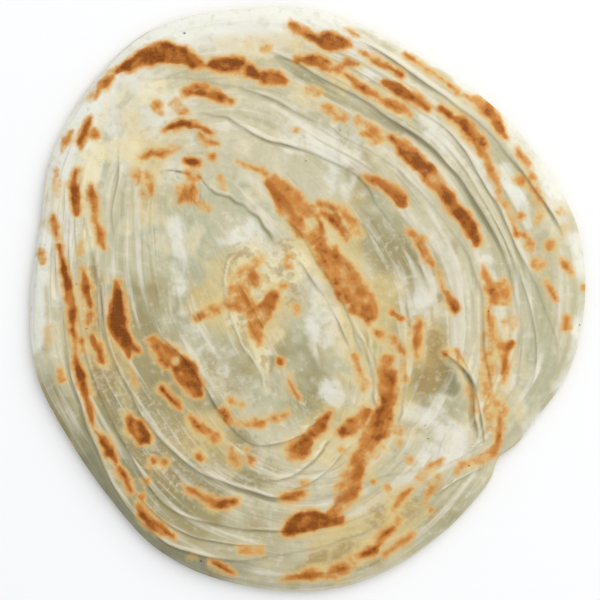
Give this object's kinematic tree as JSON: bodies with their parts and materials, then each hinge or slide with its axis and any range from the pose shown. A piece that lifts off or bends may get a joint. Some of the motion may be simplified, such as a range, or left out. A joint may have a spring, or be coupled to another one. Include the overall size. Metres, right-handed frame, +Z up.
{
  "type": "parotta",
  "caption": "Round layered flatbread: pleated dough coiled into a disc and pressed flat, with a low pleated top, a notch in the rim and a flat underside.",
  "frame": {"origin": "centre of the bounding box in plan, on the surface that the bread lies on", "axes": "+Z up, through the bread; +Y towards the top of the picture, along the bread's longer side; +X to the right"},
  "size_m": [0.1626, 0.1714, 0.0085],
  "materials": {
    "fried_dough": "pan-fried wheat dough: pale cream to translucent grey-green sheets, brown toasted patches on the raised pleats, a thin coat of oil"
  },
  "bodies": {
    "root": {"parotta": "fried_dough"}
  },
  "joints": []
}
